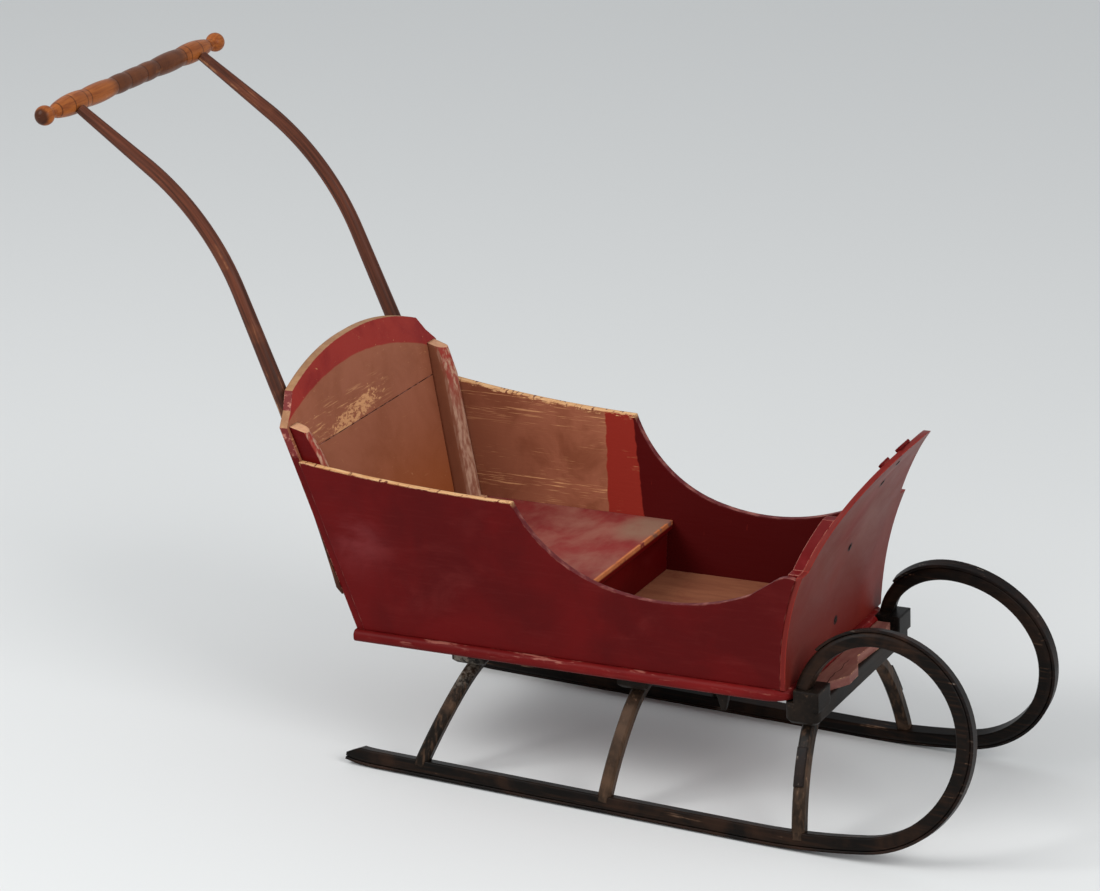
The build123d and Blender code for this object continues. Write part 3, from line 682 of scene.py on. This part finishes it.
def shaft_finish():
    f = Finish("shaft_wood")
    place = f.object_place
    height = f.split(place)[2]
    grain_place = f.add("ShaderNodeAttribute", attribute_name=SHAFT_GRAIN).outputs["Vector"]
    grain = f.noise(f.stretch(grain_place, (300.0, 300.0, 9.0)), 1.0, 4.0, 0.6)
    patch = f.noise(place, 12.0, 4.0, 0.6, 0.5)
    colour = f.mix(f.band(grain, 0.28, 0.72), SHAFT_DARK, SHAFT_RED)
    colour = f.mix(f.times(f.band(height, 0.66, 0.44), 0.6), colour, SHAFT_LOW)
    colour = f.mix(f.times(f.band(patch, 0.5, 0.7), 0.35), colour, SHAFT_TAN)
    scuff = f.times(f.band(grain, 0.58, 0.66), f.band(patch, 0.52, 0.62), 0.7)
    colour = f.mix(scuff, colour, SHAFT_SCUFF)
    rough = f.calc("MULTIPLY_ADD", patch, 0.3, 0.26)
    return f.finish(colour, rough, f.bump(grain, GRAIN_DEEP, 0.35))


def bar_finish():
    f = Finish("bar_wood")
    place = f.object_place
    y = f.split(place)[1]
    grain = f.noise(f.stretch(place, (240.0, 9.0, 240.0)), 1.0, 4.0, 0.6)
    patch = f.noise(place, 24.0, 4.0, 0.6, 0.4)
    colour = f.mix(f.band(grain, 0.36, 0.68), BAR_ORANGE, BAR_SHADE)
    handled = f.times(f.band(y, *HANDLED_RIGHT), f.band(y, *HANDLED_LEFT))
    dark = f.mix(f.band(patch, 0.36, 0.64), BAR_DARK, BAR_HANDLED)
    colour = f.mix(f.times(handled, 0.85), colour, dark)
    station = f.calc("ABSOLUTE", y)
    for ring in BAR_RINGS:
        line = f.about(station, ring, RING_HALF, RING_SOFT)
        colour = f.mix(f.times(line, 0.65), colour, RING_DARK)
    colour = f.mix(f.times(f.band(station, *BAR_END_Y), 0.9), colour, BAR_END)
    pale = f.times(f.band(patch, 0.60, 0.72), 0.5)
    colour = f.mix(pale, colour, BAR_PALE)
    rough = f.calc("MULTIPLY_ADD", patch, 0.3, 0.16)
    return f.finish(colour, rough, f.bump(grain, BAR_GRAIN_DEEP, 0.25))


shaft_wood = shaft_finish()
dress(["handle_bar"], bar_finish())

# %% [markdown]
# Most pieces come from the frame and only need their finish. A few are made here. The shafts,
# posts and wedges start as rings of points, which are bridged one to the next and closed at both
# ends. Each new piece rides on the sled's one body.


# %% Helpers for new pieces
def wrap(form, rings):
    """Close a form over its rings of points, from the first ring to the last."""
    loops = []
    for ring in rings:
        loops.append([form.edges.new((ring[k - 1], ring[k])) for k in range(len(ring))])
    for low, high in zip(loops, loops[1:]):
        bmesh.ops.bridge_loops(form, edges=low + high)
    form.faces.new(rings[0])
    form.faces.new(rings[-1])
    bmesh.ops.recalc_face_normals(form, faces=form.faces)


def new_piece(name, form, material, smooth_below=None):
    """A piece of its own from a finished form, riding with the sled."""
    mesh = bpy.data.meshes.new(name)
    form.to_mesh(mesh)
    form.free()
    if smooth_below is not None:
        mesh.shade_smooth()
        mesh.set_sharp_from_angle(angle=math.radians(smooth_below))
    piece = bpy.data.objects.new(name, mesh)
    bpy.context.scene.collection.objects.link(piece)
    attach(piece, "root")
    mesh.materials.append(material)
    return piece


def between(table, at):
    """A value read off a table of (place, value) rows, straight between them."""
    for (a, low), (b, high) in zip(table, table[1:]):
        if at <= b:
            return low + (high - low) * max(at - a, 0.0) / (b - a)
    return table[-1][1]


# %% [markdown]
# Each handle shaft is straight and steep below, bends, and runs flatter to the bar. The shafts
# are built again here as rings along the same path, so that the grain can follow it. Below, the
# joiner shaved the back of the shaft away to a thin foot.

# %% Bent shafts
# X, Z and the heading in degrees
SHAFT_FOOT = (-0.2389, 0.2235, 106.3)
# length of a straight run or radius of a bend, and the bend's turn in degrees
SHAFT_PATH = ((0.2271, 0.0), (0.290, 8.0), (0.1417, 0.0), (0.351, 32.7), (0.119, 0.0))
# distance along and radius; height and distance out
SHAFT_WIDTHS = ((0.0, 0.0120), (0.227, 0.0103), (0.268, 0.0103), (0.409, 0.0093), (0.610, 0.0093),
                (0.729, 0.0070))
SHAFT_SPREAD = ((0.2235, 0.1635), (0.8275, 0.1535))
SHAFT_STEP = 0.012
SHAFT_SIDES = 28
SHAFT_SHARP_ABOVE = 50
FOOT_THICK, FOOT_LONG = 0.006, 0.280
NOSE_LONG, NOSE_START = 0.014, 0.002
PANEL_GAP = 0.0006


def shaft_stations():
    """Each ring's X, Z, heading and distance from the foot."""
    x, z, heading = SHAFT_FOOT[0], SHAFT_FOOT[1], math.radians(SHAFT_FOOT[2])
    far = 0.0
    stations = [(x, z, heading, far)]
    for size, bend in SHAFT_PATH:
        length = size * math.radians(bend) if bend else size
        steps = max(2, round(length / SHAFT_STEP))
        for _ in range(steps):
            half_bend = math.radians(bend) / steps / 2
            chord = 2 * size * math.sin(half_bend) if bend else length / steps
            heading += half_bend
            x += chord * math.cos(heading)
            z += chord * math.sin(heading)
            heading += half_bend
            far += length / steps
            stations.append((x, z, heading, far))
    return stations


def bent_shaft(name, side):
    rod = bmesh.new()
    kept = rod.verts.layers.float_vector.new(SHAFT_GRAIN)
    rings = []
    for x, z, heading, far in shaft_stations():
        radius = between(SHAFT_WIDTHS, far)
        left = min(far / FOOT_LONG, 1.0)
        thick = FOOT_THICK + (2 * radius - FOOT_THICK) * left * left * (3 - 2 * left)
        nose = math.sin(min((far + NOSE_START) / NOSE_LONG, 1.0) * math.pi / 2)
        front = radius + PANEL_GAP * (1.0 - left)
        forward = Vector((math.sin(heading), 0.0, -math.cos(heading)))
        middle = Vector((x, side * between(SHAFT_SPREAD, z), z)) + forward * (front - thick / 2)
        ring = []
        for k in range(SHAFT_SIDES):
            c = math.cos(2 * math.pi * k / SHAFT_SIDES)
            s = math.sin(2 * math.pi * k / SHAFT_SIDES)
            point = rod.verts.new(middle + forward * (thick / 2) * c + Vector((0, radius * nose * s, 0)))
            point[kept] = (radius * c, radius * s, far + side)
            ring.append(point)
        rings.append(ring)
    wrap(rod, rings)
    return new_piece(name, rod, shaft_wood, SHAFT_SHARP_ABOVE)


for name, side in (("bent_shaft_right", -1), ("bent_shaft_left", 1)):
    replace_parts(bent_shaft(name, side), name.replace("bent", "handle"))
print("shafts: 2, rings:", len(shaft_stations()))

# %% [markdown]
# The two back cleats stand inside the corners. They are worn quite round in front, more than a
# softened corner can show, so they are built again as posts with a rounded front, from a few
# cuts between the seat and the top. Their fronts are pale, partly where backs rubbed them and partly
# as a painted highlight on the lit round front; their inner faces stay brown, and the sides that
# show past the armrest are maroon.

# %% Rounded posts at the back
POST_BROWN = srgb(118, 68, 48)
POST_TAN = srgb(138, 84, 60)
POST_PALE = srgb(192, 152, 128)
POST_SHADE = srgb(140, 88, 68)
POST_RED = srgb(150, 54, 46)
# height, depth forward from the panel's front face, width in from the side
POST_CUTS = ((0.0660, 0.0400, 0.0190), (0.0784, 0.0396, 0.0190), (0.0788, 0.0305, 0.0215),
             (0.1640, 0.0295, 0.0215), (0.2390, 0.0290, 0.0215), (0.2730, 0.0220, 0.0205))
POST_INNER_R, POST_OUTER_R, POST_FLAT = 0.0160, 0.0045, 0.0005
POST_TOP_RISE = 0.007
POST_CORNER = 0.005
POST_SHARP_ABOVE = 40
ROUND_STEPS = 6
BACK_FOOT_U, BACK_RAKE, BACK_THICK = -0.366, 0.258, 0.011
SIDE_INNER_Y = 0.152
FLARE_REAR, FLARE_FRONT = (-0.480, 0.179), (0.320, 0.087)


def side_inner(u, v):
    """How far out the side's inner face is there."""
    return SIDE_INNER_Y + between((FLARE_REAR, FLARE_FRONT), u) * v


def quarter_turn():
    """Cosine and sine at each step round a quarter of a circle."""
    turns = [math.pi / 2 * k / ROUND_STEPS for k in range(ROUND_STEPS + 1)]
    return [(math.cos(a), math.sin(a)) for a in turns]


def post_outline(deep, wide):
    """The post cut level: depth and distance in from the side, from the panel round and back."""
    outer, inner = POST_OUTER_R, min(POST_INNER_R, wide - POST_OUTER_R - POST_FLAT)
    beside = [(deep - outer * (1 - s), outer * (1 - c)) for c, s in quarter_turn()]
    within = [(deep - inner * (1 - c), wide - inner * (1 - s)) for c, s in quarter_turn()]
    return [(0.0, 0.0)] + beside + within + [(0.0, wide)]


def post_finish():
    f = Finish("back_cleat_paint")
    body = f.along_body()
    _, y, v = f.split(body)
    facing = f.facing()
    outside, rub = painted(f, body, MAROON, MAROON_DEEP, MAROON_FADED)
    inner = f.mix(f.noise(body, 30.0, 4.0, 0.6), POST_BROWN, POST_TAN)
    inward = f.band(f.times(facing[1], y), 0.01, -0.01)
    colour = f.mix(inward, outside, inner)
    streaks = f.noise(f.stretch(body, (210.0, 210.0, 7.0)), 1.0, 4.0, 0.55)
    pale = f.mix(f.band(streaks, 0.35, 0.66), POST_PALE, POST_SHADE)
    red_top = f.times(f.band(v, 0.17, 0.27), f.band(streaks, 0.36, 0.56))
    pale = f.mix(red_top, pale, POST_RED)
    # Faces that look forward are painted pale: partly rubbed wood, partly a painted highlight on the round
    # front.
    forward = f.times(f.band(facing[0], 0.22, 0.55), f.calc("MULTIPLY_ADD", streaks, 0.5, 0.62))
    colour = f.mix(forward, colour, pale)
    colour = f.mix(f.band(facing[2], 0.5, 0.7), colour, f.mix(streaks, BARE_WOOD, BARE_PINK))
    return close(f, body, colour, rub, POST_CORNER)


post_paint = post_finish()


def back_post(name, side):
    post = bmesh.new()
    cuts = []
    for v, deep, wide in POST_CUTS:
        rise = POST_TOP_RISE if v == POST_CUTS[-1][0] else 0.0
        cut = []
        for depth, inward in post_outline(deep, wide):
            height = v + rise * (1 - depth / deep)
            u = BACK_FOOT_U - BACK_RAKE * height + BACK_THICK + depth
            y = side * (side_inner(u, height) - inward)
            cut.append(post.verts.new(on_body(u, y, height)))
        cuts.append(cut)
    wrap(post, cuts)
    return new_piece(name, post, post_paint, POST_SHARP_ABOVE)


for name, side in (("back_post_right", -1), ("back_post_left", 1)):
    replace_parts(back_post(name, side), name.replace("post", "cleat"))
print("posts: 2, cuts in each:", len(POST_CUTS))

# %% [markdown]
# The nails in the dash could be painted dots, but their square heads stand proud and catch the
# light. Each is a small flat pyramid sunk part way into the face.

# %% Nails in the dash
NAIL_HALF, NAIL_PROUD, NAIL_SUNK = 0.0042, 0.0009, 0.0012
NAIL_FOOT, NAIL_TOP = 1.4, 0.8
heads = bmesh.new()
for height in NAIL_HEIGHTS:
    centre = on_body(dash_place(height)[0], 0.0, height)
    outward = dash_axes(height)[0]
    place = Matrix.Translation(centre) @ outward.to_track_quat("Z", "Y").to_matrix().to_4x4()
    place = place @ Matrix.Translation((0, 0, (NAIL_PROUD - NAIL_SUNK) / 2))
    bmesh.ops.create_cone(heads, cap_ends=True, segments=4, radius1=NAIL_HALF * NAIL_FOOT,
                          radius2=NAIL_HALF * NAIL_TOP, depth=NAIL_PROUD + NAIL_SUNK, matrix=place)
new_piece("dash_nails", heads, stay_iron)
print("nails:", len(NAIL_HEIGHTS))

# %% [markdown]
# Two small flat blocks were glued behind the crest of the dash on the right, and they show as
# dark bumps over the arch. Each lies along the slope that the arch has there.

# %% Blocks behind the crest
DASH_THICK = 0.0065
BLOCK_THICK, BLOCK_CORNER = 0.004, 0.0008
# distance to the left, height, length, breadth, and slope in degrees
CREST_BLOCKS = ((-0.0310, 0.2830, 0.024, 0.009, 14.0), (-0.0610, 0.2695, 0.015, 0.009, 34.0))


def soften(form, corner):
    """Round every edge of a form a little."""
    bmesh.ops.bevel(form, geom=form.edges[:], offset=corner, offset_type="OFFSET", segments=2,
                    profile=0.5, affect="EDGES", material=-1)


blocks = bmesh.new()
for y, v, length, breadth, slope in CREST_BLOCKS:
    outward, upward = dash_axes(v)
    lean = math.radians(slope)
    along = Vector((0, 1, 0)) * math.cos(lean) + upward * math.sin(lean)
    axes = Matrix((along, outward.cross(along), outward)).transposed().to_4x4()
    centre = on_body(dash_place(v)[0], y, v) - outward * (DASH_THICK + BLOCK_THICK / 2)
    place = Matrix.Translation(centre) @ axes @ Matrix.Diagonal((length, breadth, BLOCK_THICK, 1.0))
    bmesh.ops.create_cube(blocks, size=1.0, matrix=place)
soften(blocks, BLOCK_CORNER)
new_piece("crest_blocks", blocks, riser_paint)
print("blocks:", len(CREST_BLOCKS))

# %% [markdown]
# A small dark wedge hangs under the floor on each side, between the middle and front bows. It
# tapers downwards.

# %% Wedges under the floor
WEDGE_U, WEDGE_Y = (0.1345, 0.1520), 0.150
WEDGE_TOP_V, WEDGE_LOW_V = -0.0155, -0.0415
WEDGE_THICK, WEDGE_TAPER, WEDGE_CORNER = 0.014, 0.35, 0.0012
middle, half = (WEDGE_U[0] + WEDGE_U[1]) / 2, (WEDGE_U[1] - WEDGE_U[0]) / 2
corners = ((-half, -0.5), (half, -0.5), (half, 0.5), (-half, 0.5))
wedges = bmesh.new()
for side in (-1, 1):
    rings = []
    for v, k in ((WEDGE_TOP_V, 1.0), (WEDGE_LOW_V, WEDGE_TAPER)):
        places = [(middle + a * k, side * (WEDGE_Y + b * WEDGE_THICK * k), v) for a, b in corners]
        rings.append([wedges.verts.new(on_body(*place)) for place in places])
    wrap(wedges, rings)
soften(wedges, WEDGE_CORNER)
new_piece("floor_wedges", wedges, bolster_wood)
print("wedges: 2")

# %% [markdown]
# The sled stands on a plain pale floor that runs out of the picture on every side.

# %% Floor and light
STUDIO_PALE = srgb(222, 223, 222)
FLOOR_HALF = 40.0
SKY_COLOUR, SKY_STRENGTH = (0.94, 0.97, 1.0, 1.0), 0.62
floor_mesh = bpy.data.meshes.new("studio_floor")
shape = bmesh.new()
bmesh.ops.create_grid(shape, x_segments=1, y_segments=1, size=FLOOR_HALF)
shape.to_mesh(floor_mesh)
shape.free()
studio_floor = bpy.data.objects.new("studio_floor", floor_mesh)
bpy.context.scene.collection.objects.link(studio_floor)
floor_mesh.materials.append(Finish("pale_floor", rough=0.9, spec=0.1).finish(STUDIO_PALE))

scene = bpy.context.scene
scene.view_settings.view_transform = "Standard"
world = bpy.data.worlds.new("soft_studio")
scene.world = world
world.use_nodes = True
sky = world.node_tree.nodes["Background"]
sky.inputs["Color"].default_value = SKY_COLOUR
sky.inputs["Strength"].default_value = SKY_STRENGTH

# lamps: name, place, aim, size in metres, power in watts
LAMPS = (
    ("key_lamp", (-2.6, -3.2, 3.6), (0.0, 0.0, 0.3), 2.4, 150.0),
    ("fill_lamp", (3.4, -1.6, 2.6), (0.2, 0.0, 0.2), 2.2, 80.0),
)
for name, spot, aim, size, power in LAMPS:
    data = bpy.data.lights.new(name, "AREA")
    data.size = size
    data.energy = power
    lamp = bpy.data.objects.new(name, data)
    bpy.context.scene.collection.objects.link(lamp)
    lamp.location = spot
    lamp.rotation_euler = (Vector(aim) - Vector(spot)).to_track_quat("-Z", "Y").to_euler()
print("lamps:", len(LAMPS))
